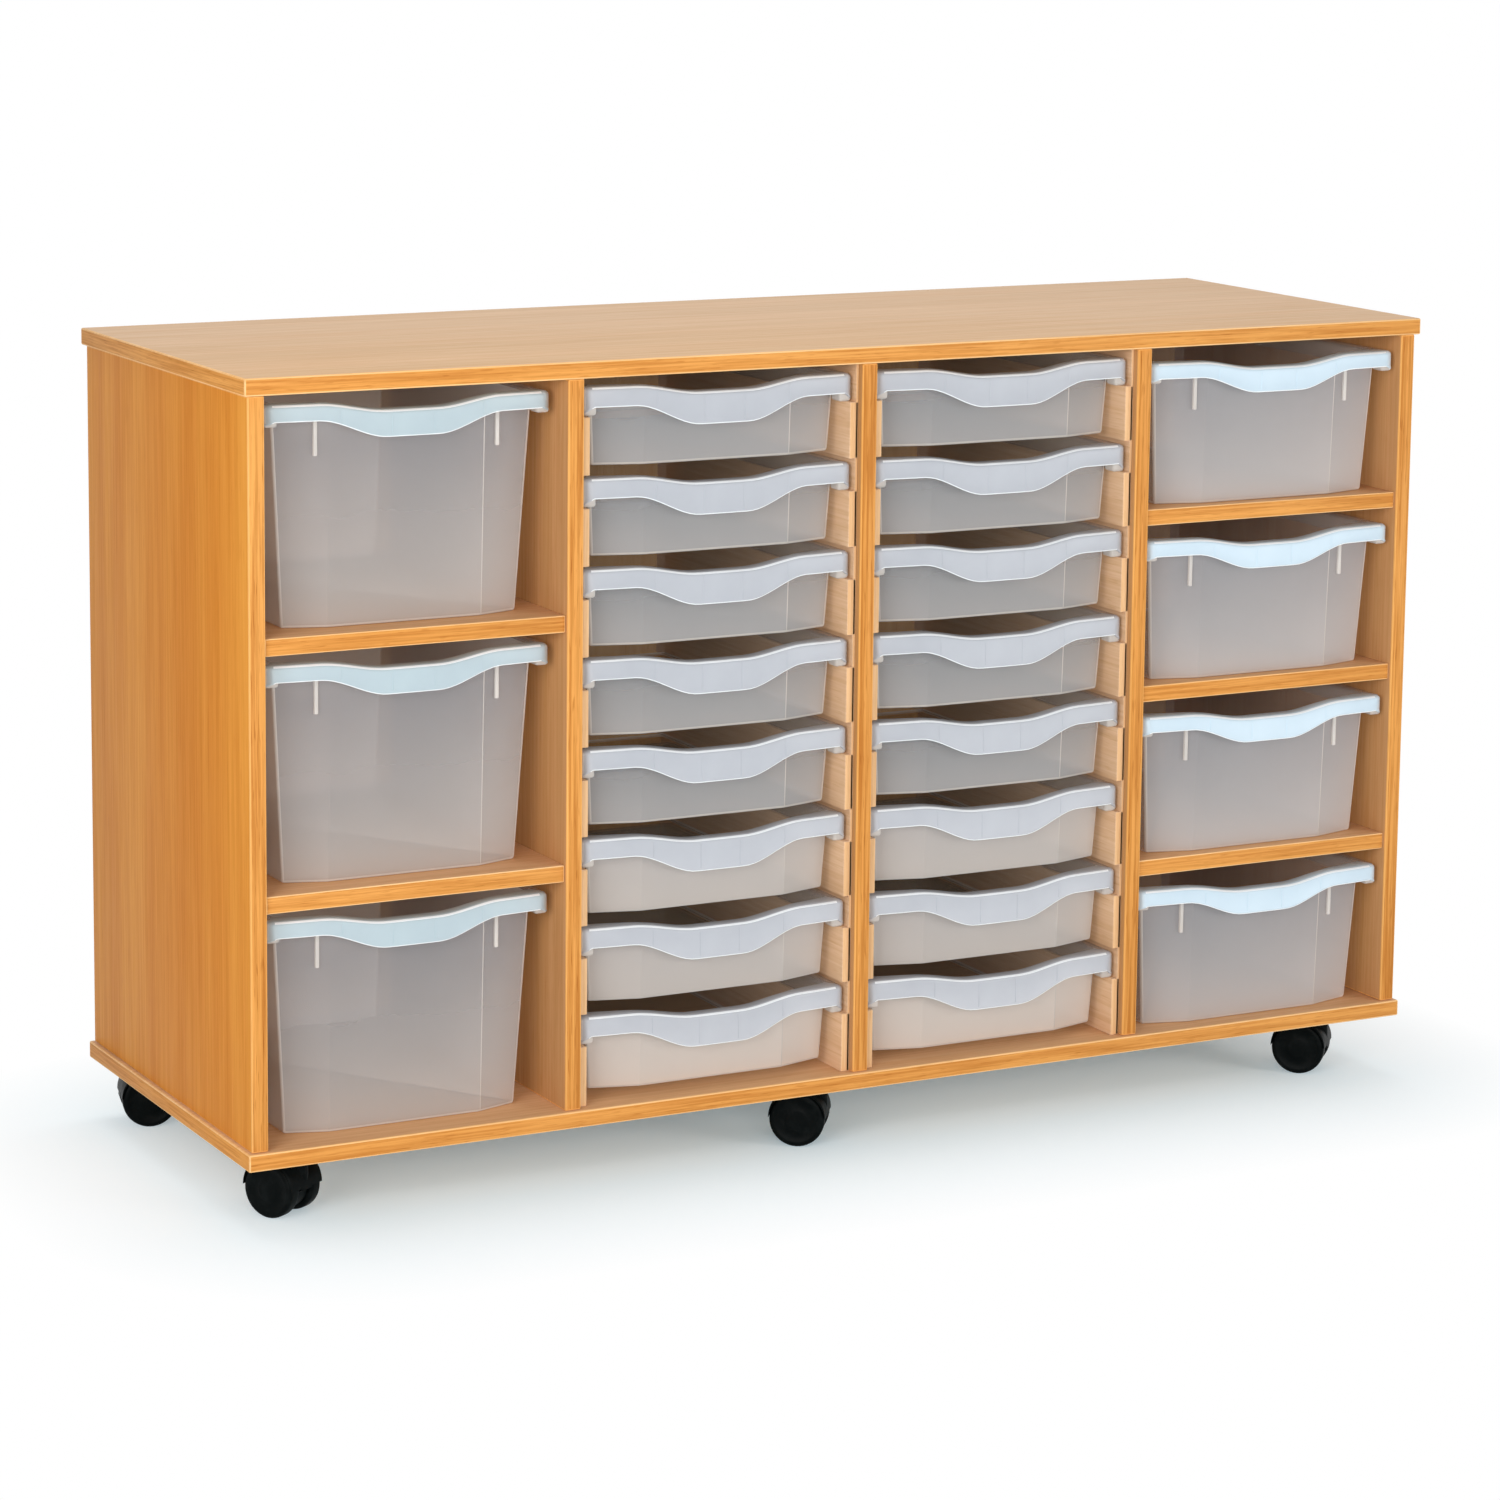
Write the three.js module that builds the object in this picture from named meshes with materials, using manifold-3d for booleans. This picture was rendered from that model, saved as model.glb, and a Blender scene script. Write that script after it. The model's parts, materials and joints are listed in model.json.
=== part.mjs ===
// A mobile classroom storage unit: a beech-faced carcass of four bays on six twin-wheel castors.
// The left bay holds extra deep trays on shelves, the two inner bays hold shallow trays in slotted
// runner boards, and the right bay holds deep trays on shelves.
// Millimetres. The origin is on the floor under the middle of the unit, +Z is up, the front faces -Y.
import * as THREE from "three";
import { mergeVertices } from "three/addons/utils/BufferGeometryUtils.js";
import Module from "manifold-3d";

const wasm = await Module();
wasm.setup();

// Boards
const BOARD = 18;
const BACK_BOARD = 8;
const OVERHANG = 4.5; // top and base beyond the panels, all round
const SHELF_SETBACK = 4; // shelf front behind the panel fronts
const JOINT_GAP = 0.3; // between two pieces that meet face to face

// Trays: sizes common to all depths
const TRAY_WIDTH = 312; // across the rim of the extra deep and the shallow trays
const DEEP_TRAY_WIDTH = 320; // across the rim of the deep trays
const TRAY_LENGTH = 427; // from the middle of the front lip to the back of the rim
const TRAY_WALL = 2.5;
const RIM_SHEET = 3; // thickness of the rim's top
const SIDE_FLANGE = 13; // rim beyond the body at the sides and the back
const LIP_OVERHANG = 15; // lip beyond the body's front wall
const LIP_BOW = 10; // the lip's ends lie this far behind its middle
const LIP_DIP = 9; // the lip's top edge drops this far at the middle
const WAVE_INNER = 28; // half the level stretch at the middle of the lip
const WAVE_OUTER = 100; // the lip is straight beyond this
const WAVE_STEPS = 3;
const FACET_KINK = 84; // half the flat middle of the front wall
const FACET_RECESS = 15; // the front wall's ends lie this far behind its middle
const CORNER_RADIUS = 12;
const SIDE_DRAFT = 0.063; // slope of the body's walls, inwards as they go down
const END_DRAFT = 0.04;
const RIB_PLACE = 99; // ribs under the lip of the taller trays, from the middle
const RIB_WIDTH = 4;
const RIB_DEPTH = 5;
const RIB_DROP = 54; // lower end of the ribs below the rim

// Trays: one row for each depth
const EXTRA_DEEP = {
  width: TRAY_WIDTH, height: 229,
  skirt: 23, lipEnd: 17.5, lipMiddle: 27.5, setback: 12, ribs: true,
};
const SHALLOW = {
  width: TRAY_WIDTH, height: 84,
  skirt: 30, lipEnd: 21, lipMiddle: 34, setback: 0, ribs: false,
};
const DEEP = {
  width: DEEP_TRAY_WIDTH, height: 159,
  skirt: 23, lipEnd: 17.5, lipMiddle: 27.5, setback: -4, ribs: true,
};
const EXTRA_DEEP_ROWS = 3;
const SHALLOW_ROWS = 8;
const DEEP_ROWS = 4;

// Room around the trays
const RUNNER_BAY_PLAY = 5; // rim to divider, each side
const SHELF_BAY_PLAY = 8.25; // rim of an extra deep tray to panel or divider, each side
const DEEP_BAY_PLAY = 4.25; // the same for a deep tray
const SHELF_HEADROOM = 12; // least room over a tray on a shelf
const ROW_GAP = 10.1; // room between two shallow trays
const TOP_ROW_GAP = 11.2; // over the highest shallow tray
const DEPTH_ALLOWANCE = 31; // inside depth beyond the tray's length
const REST_GAP = 0.3; // under a tray's foot or rim

// Runner boards
const RUNNER = 10;
const RUNNER_BACKING = 3;
const RUNNER_SETBACK = 8; // behind the panel fronts
const SLOT_HEADROOM = 4; // over a rim in its slot

// Castors
const WHEEL_DIAMETER = 61;
const WHEEL_WIDTH = 16;
const WHEEL_CHAMFER = 2.5;
const AXLE_RADIUS = 4;
const WEB = 18; // the hood's middle, between the wheels
const WHEEL_CLEARANCE = 1;
const HOOD_WALL = 2;
const HOOD_ENDS_AT = 0.1; // radians above the axle
const WEB_INSET = 5; // below the axle, the web ends this far inside the treads
const HOOD_TO_PLATE = 1.3;
const CASTOR_PLATE = 2.5;
const CASTOR_PLATE_SIDE = 42;
const CASTOR_TRAIL = 22; // axle behind the swivel stem
const STEM_RADIUS = 5.5;
const STEM_WALL = 3;
const STEM_LENGTH = 30;
const BORE_CLEARANCE = 0.4; // keeps a faceted pin clear of its faceted bore as it turns
const CASTOR_INSET_SIDE = 73; // stem from the base's end
const CASTOR_INSET_FRONT = 47.5; // stem from the base's front and back
const CASTOR_MIDDLE_OFFSET = 25; // the middle castors stand this far left of the middle
const WHEEL_SIDES = 16;
const STEM_SIDES = 10;

// Bays from left to right, worked out from the trays
const runnerBay = SHALLOW.width + 2 * RUNNER_BAY_PLAY;
const shelfBay = Math.max(EXTRA_DEEP.width + 2 * SHELF_BAY_PLAY, DEEP.width + 2 * DEEP_BAY_PLAY);
const panelMiddle = runnerBay + shelfBay + 2.5 * BOARD - BOARD / 2;
const dividerMiddle = runnerBay + BOARD;
const unitWidth = 2 * (panelMiddle + BOARD / 2 + OVERHANG);
const innerDepth = TRAY_LENGTH + DEPTH_ALLOWANCE;
const unitDepth = innerDepth + BACK_BOARD + 2 * OVERHANG;
const panelFront = -unitDepth / 2 + OVERHANG;
const panelBack = unitDepth / 2 - OVERHANG;
const backBoardFront = panelBack - BACK_BOARD;

// Heights, set by the tallest stack of trays
const stack = (rows, height) => rows * (height + SHELF_HEADROOM) + (rows - 1) * BOARD;
const innerHeight = Math.max(
  stack(EXTRA_DEEP_ROWS, EXTRA_DEEP.height),
  stack(DEEP_ROWS, DEEP.height),
  SHALLOW_ROWS * (SHALLOW.height + ROW_GAP) + TOP_ROW_GAP,
);
const rowPitch = (innerHeight - TOP_ROW_GAP) / SHALLOW_ROWS;
const wheelRadius = WHEEL_DIAMETER / 2;
const hoodRadius = wheelRadius + WHEEL_CLEARANCE + HOOD_WALL;
const axleHeight = wheelRadius * Math.cos(Math.PI / WHEEL_SIDES); // a flat of the wheel on the floor
const plateUnderside = axleHeight + hoodRadius + HOOD_TO_PLATE;
const baseUnderside = plateUnderside + CASTOR_PLATE + JOINT_GAP;
const baseTop = baseUnderside + BOARD;
const topUnderside = baseTop + innerHeight;
const unitHeight = topUnderside + BOARD;

const beech = new THREE.MeshStandardMaterial({ color: 0xd99a55, roughness: 0.45, metalness: 0 });
const beechInside = new THREE.MeshStandardMaterial({ color: 0xb98a58, roughness: 0.5, metalness: 0 });
const paleBeech = new THREE.MeshStandardMaterial({ color: 0xdeb88c, roughness: 0.55, metalness: 0 });
const frosted = new THREE.MeshStandardMaterial({ color: 0xcfd3d6, roughness: 0.35, metalness: 0 });
const blackPlastic = new THREE.MeshStandardMaterial({ color: 0x141716, roughness: 0.4, metalness: 0 });
const platedSteel = new THREE.MeshStandardMaterial({ color: 0xb4b6b8, roughness: 0.35, metalness: 1 });

const unit = new THREE.Group();

// Solids and meshes

function solidOf(geometry) {
  const bare = geometry.clone();
  bare.deleteAttribute("normal");
  bare.deleteAttribute("uv");
  const merged = mergeVertices(bare);
  return new wasm.Manifold(
    new wasm.Mesh({
      numProp: 3,
      vertProperties: merged.attributes.position.array,
      triVerts: new Uint32Array(merged.index.array),
    }),
  );
}

function geometryOf(solid) {
  const { vertProperties, triVerts } = solid.getMesh();
  const geometry = new THREE.BufferGeometry();
  geometry.setAttribute("position", new THREE.BufferAttribute(vertProperties, 3));
  geometry.setIndex(new THREE.BufferAttribute(triVerts, 1));
  geometry.computeVertexNormals();
  return geometry;
}

function addMesh(group, name, geometry, material) {
  const mesh = new THREE.Mesh(geometry, material);
  mesh.name = name;
  group.add(mesh);
  return mesh;
}

function box([x0, y0, z0], [x1, y1, z1]) {
  const geometry = new THREE.BoxGeometry(x1 - x0, y1 - y0, z1 - z0);
  return geometry.translate((x0 + x1) / 2, (y0 + y1) / 2, (z0 + z1) / 2);
}

function addBoard(name, low, high, material = beech) {
  addMesh(unit, name, box(low, high), material);
}

// An outline in X and Y, drawn up from z0 to z1.
function upright(shape, z0, z1, curveSegments = 3) {
  const geometry = new THREE.ExtrudeGeometry(shape, { depth: z1 - z0, bevelEnabled: false, curveSegments });
  return geometry.translate(0, 0, z0);
}

const axisX = new THREE.Vector3(1, 0, 0);
const axisY = new THREE.Vector3(0, 1, 0);
const axisZ = new THREE.Vector3(0, 0, 1);
const frontToBack = new THREE.Matrix4().makeBasis(axisX, axisZ, axisY.clone().negate());
const sideways = new THREE.Matrix4().makeBasis(axisY, axisZ, axisX);

// An outline in X and Z, drawn back from y0 to y1.
function lengthwise(shape, y0, y1) {
  const geometry = new THREE.ExtrudeGeometry(shape, { depth: y1 - y0, bevelEnabled: false });
  return geometry.applyMatrix4(frontToBack).translate(0, y1, 0);
}

// An outline in Y and Z, drawn across X by half its width each way.
function crosswise(shape, width, curveSegments) {
  const geometry = new THREE.ExtrudeGeometry(shape, { depth: width, bevelEnabled: false, curveSegments });
  return geometry.applyMatrix4(sideways).translate(-width / 2, 0, 0);
}

function shapeOf(points) {
  return new THREE.Shape(points.map(([x, y]) => new THREE.Vector2(x, y)));
}

// Carcass

function addCarcass() {
  const halfWidth = unitWidth / 2;
  const halfDepth = unitDepth / 2;
  addBoard("base_panel", [-halfWidth, -halfDepth, baseUnderside], [halfWidth, halfDepth, baseTop]);
  addBoard("top_panel", [-halfWidth, -halfDepth, topUnderside], [halfWidth, halfDepth, unitHeight]);

  const foot = baseTop + JOINT_GAP;
  const head = topUnderside - JOINT_GAP;
  const addUpright = (name, middle, back) =>
    addBoard(name, [middle - BOARD / 2, panelFront, foot], [middle + BOARD / 2, back, head]);
  addUpright("side_panel_left", -panelMiddle, panelBack);
  addUpright("side_panel_right", panelMiddle, panelBack);
  const dividerBack = backBoardFront - JOINT_GAP;
  addUpright("divider_left", -dividerMiddle, dividerBack);
  addUpright("divider_centre", 0, dividerBack);
  addUpright("divider_right", dividerMiddle, dividerBack);

  const backHalf = panelMiddle - BOARD / 2 - JOINT_GAP;
  addBoard("back_panel", [-backHalf, backBoardFront, foot], [backHalf, panelBack, head], beechInside);
}

// Clear height of one of several equal compartments, and the level of each one's floor.
function compartments(rows) {
  const clear = (innerHeight - (rows - 1) * BOARD) / rows;
  const floors = [];
  for (let row = 0; row < rows; row++) {
    floors.push(baseTop + row * (clear + BOARD));
  }
  return floors;
}

function addShelves(prefix, bayMiddle, floors) {
  const half = shelfBay / 2 - JOINT_GAP;
  floors.slice(1).forEach((floor, index) => {
    const front = panelFront + SHELF_SETBACK;
    const back = backBoardFront - JOINT_GAP;
    const low = [bayMiddle - half, front, floor - BOARD];
    addBoard(`${prefix}_shelf_${index + 1}`, low, [bayMiddle + half, back, floor]);
  });
}

// Runner boards: a backing with a strip under each row of rims

function runnerGeometry() {
  const length = innerDepth - RUNNER_SETBACK - JOINT_GAP;
  const points = [[0, 0]];
  for (let row = 0; row < SHALLOW_ROWS; row++) {
    const stripFoot = row === 0 ? 0 : row * rowPitch + SLOT_HEADROOM;
    const stripTop = (row + 1) * rowPitch - SHALLOW.skirt - REST_GAP;
    if (row > 0) points.push([RUNNER_BACKING, stripFoot]);
    points.push([RUNNER, stripFoot], [RUNNER, stripTop], [RUNNER_BACKING, stripTop]);
  }
  const head = innerHeight - 2 * JOINT_GAP;
  points.push([RUNNER_BACKING, head], [0, head]);
  return lengthwise(shapeOf(points), 0, length);
}

function addRunners(prefix, bayMiddle) {
  const geometry = runnerGeometry();
  const wall = runnerBay / 2 - JOINT_GAP;
  const front = panelFront + RUNNER_SETBACK;
  const left = addMesh(unit, `${prefix}_runner_left`, geometry, paleBeech);
  left.position.set(bayMiddle - wall, front, baseTop + JOINT_GAP);
  const length = innerDepth - RUNNER_SETBACK - JOINT_GAP;
  const right = addMesh(unit, `${prefix}_runner_right`, geometry, paleBeech);
  right.rotation.z = Math.PI;
  right.position.set(bayMiddle + wall, front + length, baseTop + JOINT_GAP);
}

// Trays, drawn with the middle of the lip at y = 0, the rim's top at z = 0 and the back at TRAY_LENGTH

// The share of the lip's full dip at a distance from the middle.
function waveShare(x) {
  const share = (WAVE_OUTER - Math.abs(x)) / (WAVE_OUTER - WAVE_INNER);
  return THREE.MathUtils.smoothstep(share, 0, 1);
}

function wavePlaces(trayHalf) {
  const places = [];
  for (let step = 0; step <= WAVE_STEPS; step++) {
    places.push(THREE.MathUtils.lerp(WAVE_INNER, WAVE_OUTER, step / WAVE_STEPS));
  }
  places.push(trayHalf);
  return [...places.map((x) => -x).reverse(), 0, ...places];
}

// A band across the tray between two curves, from the lip back to a depth and bowed with the lip:
// a unit box cut into columns, each corner of which is moved to its place.
function lipBand({ width }, upper, lower, depth) {
  const trayHalf = width / 2;
  const places = wavePlaces(trayHalf);
  const columns = places.length - 1;
  const geometry = new THREE.BoxGeometry(1, 1, 1, columns, 1, 1);
  const position = geometry.attributes.position;
  for (let i = 0; i < position.count; i++) {
    const x = places[Math.round((position.getX(i) + 0.5) * columns)];
    const bow = LIP_BOW * (x / trayHalf) ** 2;
    const y = position.getY(i) > 0 ? bow + depth : bow;
    const z = position.getZ(i) > 0 ? upper(x) : lower(x);
    position.setXYZ(i, x, y, z);
  }
  return solidOf(geometry);
}

function bodyOutline({ width }, inset) {
  const half = width / 2 - SIDE_FLANGE - inset;
  const front = LIP_OVERHANG + inset;
  const back = TRAY_LENGTH - SIDE_FLANGE - inset;
  const radius = CORNER_RADIUS - inset;
  const shape = new THREE.Shape();
  shape.moveTo(-FACET_KINK, front);
  shape.lineTo(FACET_KINK, front);
  shape.lineTo(half, front + FACET_RECESS);
  shape.lineTo(half, back - radius);
  shape.absarc(half - radius, back - radius, radius, 0, Math.PI / 2);
  shape.absarc(radius - half, back - radius, radius, Math.PI / 2, Math.PI);
  shape.lineTo(-half, front + FACET_RECESS);
  return shape;
}

// The body's walls draw in towards its foot.
function bodySolid(tray, inset, foot, head) {
  const geometry = upright(bodyOutline(tray, inset), foot, head);
  const position = geometry.attributes.position;
  for (let i = 0; i < position.count; i++) {
    const drop = -position.getZ(i);
    const x = position.getX(i);
    const y = position.getY(i);
    if (Math.abs(x) > FACET_KINK) position.setX(i, x - Math.sign(x) * SIDE_DRAFT * drop);
    position.setY(i, y + Math.sign(TRAY_LENGTH / 2 - y) * END_DRAFT * drop);
  }
  return solidOf(geometry);
}

function rimSkirt({ width, skirt }) {
  const trayHalf = width / 2;
  const outer = box([-trayHalf, LIP_BOW, -skirt], [trayHalf, TRAY_LENGTH, -RIM_SHEET / 2]);
  const innerHalf = trayHalf - TRAY_WALL;
  const inner = box([-innerHalf, LIP_BOW - 1, -skirt - 1], [innerHalf, TRAY_LENGTH - TRAY_WALL, 1]);
  return solidOf(outer).subtract(solidOf(inner));
}

function trayGeometry(tray) {
  const { width, height, skirt, lipEnd, lipMiddle, ribs } = tray;
  const trayHalf = width / 2;
  const crest = (x) => -LIP_DIP * waveShare(x);
  const lipDrop = LIP_DIP + lipMiddle - lipEnd;
  const lipEdge = (x) => -lipEnd - lipDrop * waveShare(x);
  const rimFront = LIP_OVERHANG + FACET_RECESS + 2 * TRAY_WALL;

  const aboveLip = lipBand(tray, () => height, (x) => crest(x) - RIM_SHEET / 2, rimFront);
  let solid = bodySolid(tray, 0, -height, -RIM_SHEET / 2).subtract(aboveLip);
  solid = solid.add(lipBand(tray, crest, (x) => crest(x) - RIM_SHEET, rimFront));
  solid = solid.add(lipBand(tray, crest, lipEdge, TRAY_WALL));
  solid = solid.add(solidOf(box([-trayHalf, rimFront, -RIM_SHEET], [trayHalf, TRAY_LENGTH, 0])));
  solid = solid.add(rimSkirt(tray));
  for (const side of [-1, 1]) {
    const ends = [side * (trayHalf - SIDE_FLANGE - TRAY_WALL), side * trayHalf].sort((a, b) => a - b);
    const blockBack = LIP_OVERHANG + FACET_RECESS + TRAY_WALL;
    const block = box([ends[0], blockBack - TRAY_WALL, -skirt], [ends[1], blockBack, -RIM_SHEET / 2]);
    solid = solid.add(solidOf(block));
    if (ribs) {
      const middle = side * RIB_PLACE;
      const ribFront = LIP_OVERHANG - RIB_DEPTH;
      const low = [middle - RIB_WIDTH / 2, ribFront, -RIB_DROP];
      const high = [middle + RIB_WIDTH / 2, rimFront, -RIM_SHEET / 2];
      solid = solid.add(solidOf(box(low, high)));
    }
  }
  solid = solid.subtract(bodySolid(tray, TRAY_WALL, TRAY_WALL - height, height));
  return geometryOf(solid);
}

function addTray(name, geometry, tray, bayMiddle, rimTop) {
  const mesh = addMesh(unit, name, geometry, frosted);
  mesh.position.set(bayMiddle, panelFront + tray.setback, rimTop);
}

function addShelfTrays(prefix, tray, bayMiddle, floors) {
  const geometry = trayGeometry(tray);
  [...floors].reverse().forEach((floor, index) => {
    addTray(`${prefix}_tray_${index + 1}`, geometry, tray, bayMiddle, floor + REST_GAP + tray.height);
  });
}

function addRunnerTrays(prefix, geometry, bayMiddle) {
  for (let row = 0; row < SHALLOW_ROWS; row++) {
    const rimTop = baseTop + JOINT_GAP + (SHALLOW_ROWS - row) * rowPitch;
    addTray(`${prefix}_tray_${row + 1}`, geometry, SHALLOW, bayMiddle, rimTop);
  }
}

// Castors, drawn with the swivel stem on the Z axis and the axle along X, trailing towards +Y

function pin(radius, z0, z1, sides) {
  const geometry = new THREE.CylinderGeometry(radius, radius, z1 - z0, sides);
  return solidOf(geometry.rotateX(Math.PI / 2).translate(0, 0, (z0 + z1) / 2));
}

function castorPlateGeometry() {
  const half = CASTOR_PLATE_SIDE / 2;
  const plate = box([-half, -half, plateUnderside], [half, half, plateUnderside + CASTOR_PLATE]);
  const stemFoot = plateUnderside - STEM_LENGTH;
  const stemHead = plateUnderside + CASTOR_PLATE / 2;
  return geometryOf(solidOf(plate).add(pin(STEM_RADIUS, stemFoot, stemHead, STEM_SIDES)));
}

function hoodGeometry() {
  const twinWidth = WEB + 2 * (WHEEL_CLEARANCE + WHEEL_WIDTH);
  const web = new THREE.Shape();
  web.absarc(0, 0, hoodRadius - HOOD_WALL / 2, 0, Math.PI);
  web.absarc(0, 0, wheelRadius - WEB_INSET, Math.PI, 2 * Math.PI);
  const cover = new THREE.Shape();
  cover.absarc(0, 0, hoodRadius, HOOD_ENDS_AT, Math.PI - HOOD_ENDS_AT);
  cover.absarc(0, 0, hoodRadius - HOOD_WALL, Math.PI - HOOD_ENDS_AT, HOOD_ENDS_AT, true);
  let hood = solidOf(crosswise(web, WEB, WHEEL_SIDES / 2));
  hood = hood.add(solidOf(crosswise(cover, twinWidth, WHEEL_SIDES / 2)));
  const axleBore = pin(AXLE_RADIUS + BORE_CLEARANCE, -twinWidth, twinWidth, STEM_SIDES);
  hood = hood.subtract(axleBore.rotate([0, 90, 0]));
  hood = hood.translate([0, CASTOR_TRAIL, axleHeight]);

  const collarTop = plateUnderside - HOOD_TO_PLATE / 2;
  hood = hood.add(pin(STEM_RADIUS + STEM_WALL, axleHeight, collarTop, STEM_SIDES));
  const boreFoot = plateUnderside - STEM_LENGTH - HOOD_TO_PLATE;
  hood = hood.subtract(pin(STEM_RADIUS + BORE_CLEARANCE, boreFoot, plateUnderside, STEM_SIDES));
  return geometryOf(hood);
}

function wheelsGeometry() {
  const inner = WEB / 2 + WHEEL_CLEARANCE;
  const outer = inner + WHEEL_WIDTH;
  const shoulder = wheelRadius - WHEEL_CHAMFER;
  const half = [
    [AXLE_RADIUS, inner],
    [shoulder, inner],
    [wheelRadius, inner + WHEEL_CHAMFER],
    [wheelRadius, outer - WHEEL_CHAMFER],
    [shoulder, outer],
    [0, outer],
  ];
  const mirrored = half.map(([radius, place]) => [radius, -place]).reverse();
  const profile = [...mirrored, ...half].map(([radius, place]) => new THREE.Vector2(radius, place));
  const geometry = new THREE.LatheGeometry(profile, WHEEL_SIDES, Math.PI / WHEEL_SIDES);
  return geometryOf(solidOf(geometry.rotateZ(-Math.PI / 2)));
}

// Each castor stands as its last roll left it: the angle is the axle's, from +X towards +Y.
const stemX = unitWidth / 2 - CASTOR_INSET_SIDE;
const stemY = unitDepth / 2 - CASTOR_INSET_FRONT;
const castors = [
  { place: "front_left", x: -stemX, y: -stemY, angle: 31 },
  { place: "front_middle", x: -CASTOR_MIDDLE_OFFSET, y: -stemY, angle: 54 },
  { place: "front_right", x: stemX, y: -stemY, angle: 46 },
  { place: "rear_left", x: -stemX, y: stemY, angle: 76 },
  { place: "rear_middle", x: -CASTOR_MIDDLE_OFFSET, y: stemY, angle: 100 },
  { place: "rear_right", x: stemX, y: stemY, angle: 115 },
];

function addCastors() {
  const plate = castorPlateGeometry();
  const hood = hoodGeometry();
  const wheels = wheelsGeometry();
  for (const { place, x, y, angle } of castors) {
    const castor = new THREE.Group();
    castor.position.set(x, y, 0);
    unit.add(castor);
    addMesh(castor, `castor_${place}_plate`, plate, platedSteel);
    const swivel = new THREE.Group();
    swivel.rotation.z = THREE.MathUtils.degToRad(angle);
    castor.add(swivel);
    addMesh(swivel, `castor_${place}_hood`, hood, blackPlastic);
    const pair = addMesh(swivel, `castor_${place}_wheels`, wheels, blackPlastic);
    pair.position.set(0, CASTOR_TRAIL, axleHeight);
  }
}

const shelfBayMiddle = dividerMiddle + BOARD / 2 + shelfBay / 2;
const runnerBayMiddle = BOARD / 2 + runnerBay / 2;
const leftFloors = compartments(EXTRA_DEEP_ROWS);
const rightFloors = compartments(DEEP_ROWS);
const shallowTray = trayGeometry(SHALLOW);

addCarcass();
addShelves("left", -shelfBayMiddle, leftFloors);
addShelves("right", shelfBayMiddle, rightFloors);
addRunners("inner_left", -runnerBayMiddle);
addRunners("inner_right", runnerBayMiddle);
addShelfTrays("extra_deep", EXTRA_DEEP, -shelfBayMiddle, leftFloors);
addRunnerTrays("shallow_left", shallowTray, -runnerBayMiddle);
addRunnerTrays("shallow_right", shallowTray, runnerBayMiddle);
addShelfTrays("deep", DEEP, shelfBayMiddle, rightFloors);
addCastors();

export default unit;
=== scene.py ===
"""A mobile classroom storage unit with beech-faced boards, frosted trays and twin-wheel castors."""

import json
import math

import bmesh
import bpy
from mathutils import Matrix, Vector


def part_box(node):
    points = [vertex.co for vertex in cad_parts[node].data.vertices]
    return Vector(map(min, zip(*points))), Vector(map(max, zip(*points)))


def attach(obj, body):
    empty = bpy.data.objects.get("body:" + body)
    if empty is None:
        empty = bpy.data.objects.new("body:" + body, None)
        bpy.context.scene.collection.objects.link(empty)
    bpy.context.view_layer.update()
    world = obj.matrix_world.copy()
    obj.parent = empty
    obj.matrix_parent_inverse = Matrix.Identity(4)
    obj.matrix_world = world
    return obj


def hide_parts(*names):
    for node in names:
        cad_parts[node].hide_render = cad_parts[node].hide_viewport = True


MM = 0.001
X, Y, Z = range(3)

# The photograph's view: angles from straight ahead, and a lens that is shifted down
CAMERA_AZIMUTH = math.radians(27.765)
CAMERA_ELEVATION = math.radians(8.785)
CAMERA_ROLL = math.radians(0.616)
CAMERA_DISTANCE = 4.9904
CAMERA_TARGET = Vector((-0.0004, 0.0332, 0.6565))
CAMERA_LENS = 108.59
CAMERA_SHIFT = -0.16

# Boards
BOARD_ARRIS = 1.6 * MM
SHELF_ARRIS = 1.2 * MM
STRIP_ARRIS = 0.8 * MM
RUNNER_BACKING = 3 * MM
BACK_SCREW_RADIUS = 4 * MM
BACK_SCREW_RISE = 1.4 * MM
BACK_SCREW_SHARES = (0.06, 0.35, 0.65, 0.94)  # of the back panel's height
AXIS_ALIGNED = 0.999  # a face whose normal has more of an axis than this lies square to it

# Trays, in millimetres: x across, y back from the middle of the lip, z up from the rim's top
TRAY_LENGTH = 427.0
BODY_FRONT = 15.0
WALL = 2.5
RIM_SHEET = 3.0
LIP_BOW = 10.0
LIP_DIP = 9.0
WAVE_INNER = 28.0
WAVE_OUTER = 100.0
FACET_KINK = 84.0
FACET_RECESS = 15.0
FLANGE = 13.0
SIDE_DRAFT = 0.063
END_DRAFT = 0.04
RIM_CORNER = 11.0
BODY_CORNER = 3.0
CORNER_TURNS = 6
FRONT_STEPS = 22  # across half of the front
KINK_STEP = 0.004  # of the front's half width, to each side of a kink
KINK_ROOM = 0.02  # of the front's half width, kept clear of other places round a kink
RIM_EDGE = 5.0  # rounding from the rim's top into its skirt
BEAD = 0.7  # the skirt's lower edge stands out this far
FOOT_RADIUS = 3.0
RIB_PLACE = 99.0
RIB_DROP = 54.0
RIB_HALF = 2.0
RIB_PROUD = 1.8
TICK_PLACES = (-77.0, -23.0, 23.0, 77.0)
TICK_HALF = 0.5
TICK_PROUD = 0.3
TALL_LIP = {"skirt": 23.0, "lip_end": 17.5, "lip_middle": 27.5, "tall": True}
SHALLOW_LIP = {"skirt": 30.0, "lip_end": 21.0, "lip_middle": 34.0, "tall": False}
TRAY_KINDS = {
    "extra_deep": {"half": 156.0, "height": 229.0, **TALL_LIP},
    "shallow": {"half": 156.0, "height": 84.0, **SHALLOW_LIP},
    "deep": {"half": 160.0, "height": 159.0, **TALL_LIP},
}
TRAY_ROWS = 8
# Rows of shallow trays whose fronts are painted paler, as light from below
LIT_LOW_ROWS = slice(5, 7)
LIT_LOWEST_ROW = 7

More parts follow.
